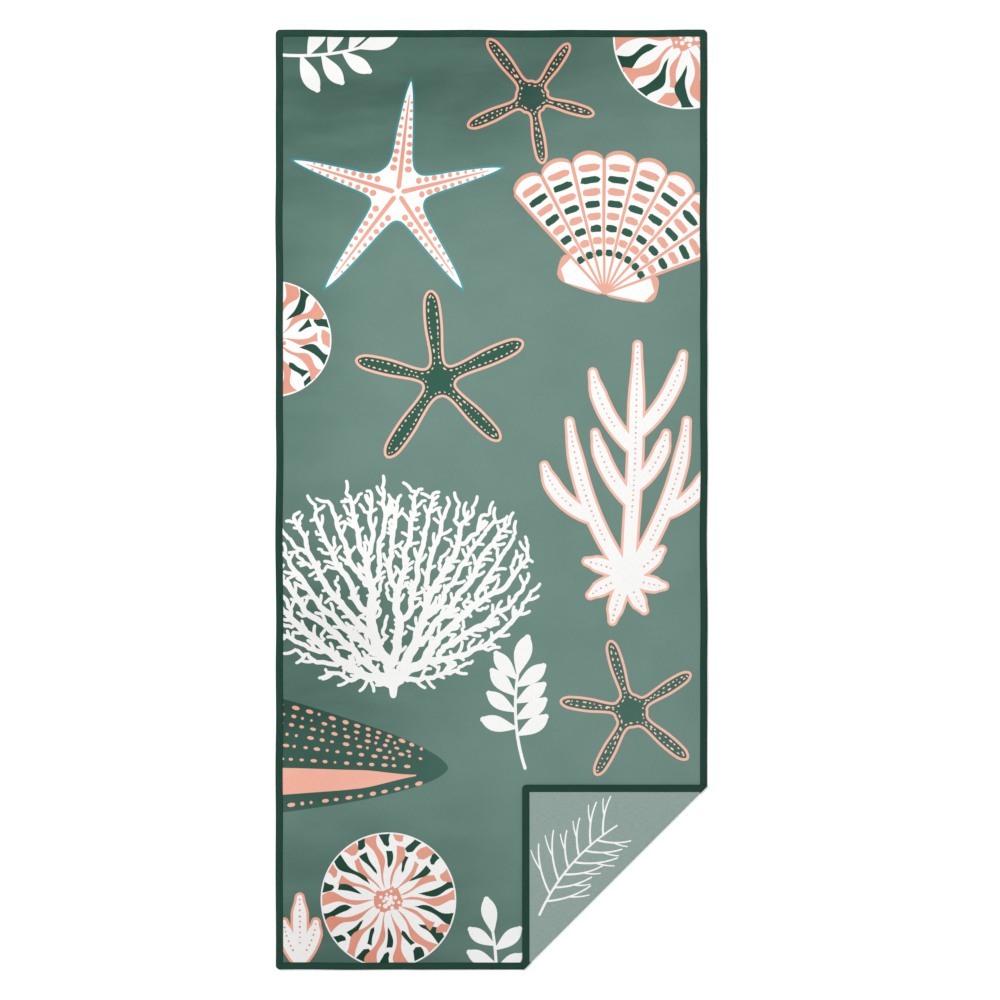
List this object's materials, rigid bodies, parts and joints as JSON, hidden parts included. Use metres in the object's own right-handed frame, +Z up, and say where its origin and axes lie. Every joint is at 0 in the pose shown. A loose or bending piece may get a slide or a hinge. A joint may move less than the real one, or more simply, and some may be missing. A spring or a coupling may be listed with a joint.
{
  "type": "quick dry travel towel",
  "caption": "Thin rectangular microfibre towel with a folded binding sewn round its edge, lying flat with one corner turned over on a fold line.",
  "frame": {"origin": "middle of the lying towel's rectangle, on the surface that it lies on", "axes": "+Y along the towel's length, towards the end away from the turned-over corner; +X across it, towards the side whose corner is turned over; +Z up, out of the printed face"},
  "size_m": [0.9, 1.96, 0.0057],
  "materials": {
    "printed_cloth": "matte",
    "binding_tape": "matte",
    "sewing_thread": "satin"
  },
  "bodies": {
    "towel": {"cloth_panel": "printed_cloth", "cloth_fold": "printed_cloth", "binding_top": "binding_tape", "binding_left": "binding_tape", "binding_bottom": "binding_tape", "binding_right": "binding_tape", "binding_fold_bottom": "binding_tape", "binding_fold_right": "binding_tape", "needle_thread_top": "sewing_thread", "needle_thread_left": "sewing_thread", "needle_thread_bottom": "sewing_thread", "needle_thread_right": "sewing_thread", "bobbin_thread_top": "sewing_thread", "bobbin_thread_left": "sewing_thread", "bobbin_thread_bottom": "sewing_thread", "bobbin_thread_right": "sewing_thread"},
    "folded_corner": {"cloth_corner": "printed_cloth", "corner_binding_bottom": "binding_tape", "corner_binding_right": "binding_tape", "corner_needle_thread_bottom": "sewing_thread", "corner_needle_thread_right": "sewing_thread", "corner_bobbin_thread_bottom": "sewing_thread", "corner_bobbin_thread_right": "sewing_thread"}
  },
  "joints": [
    {"name": "corner_fold", "type": "hinge", "parent": "towel", "child": "folded_corner", "pos_m": [0.257, -0.787, 0.00285], "axis": [0.7071, 0.7071, 0], "range_deg": [0, 180], "deforming": ["cloth_fold", "binding_fold_bottom", "binding_fold_right"]}
  ]
}
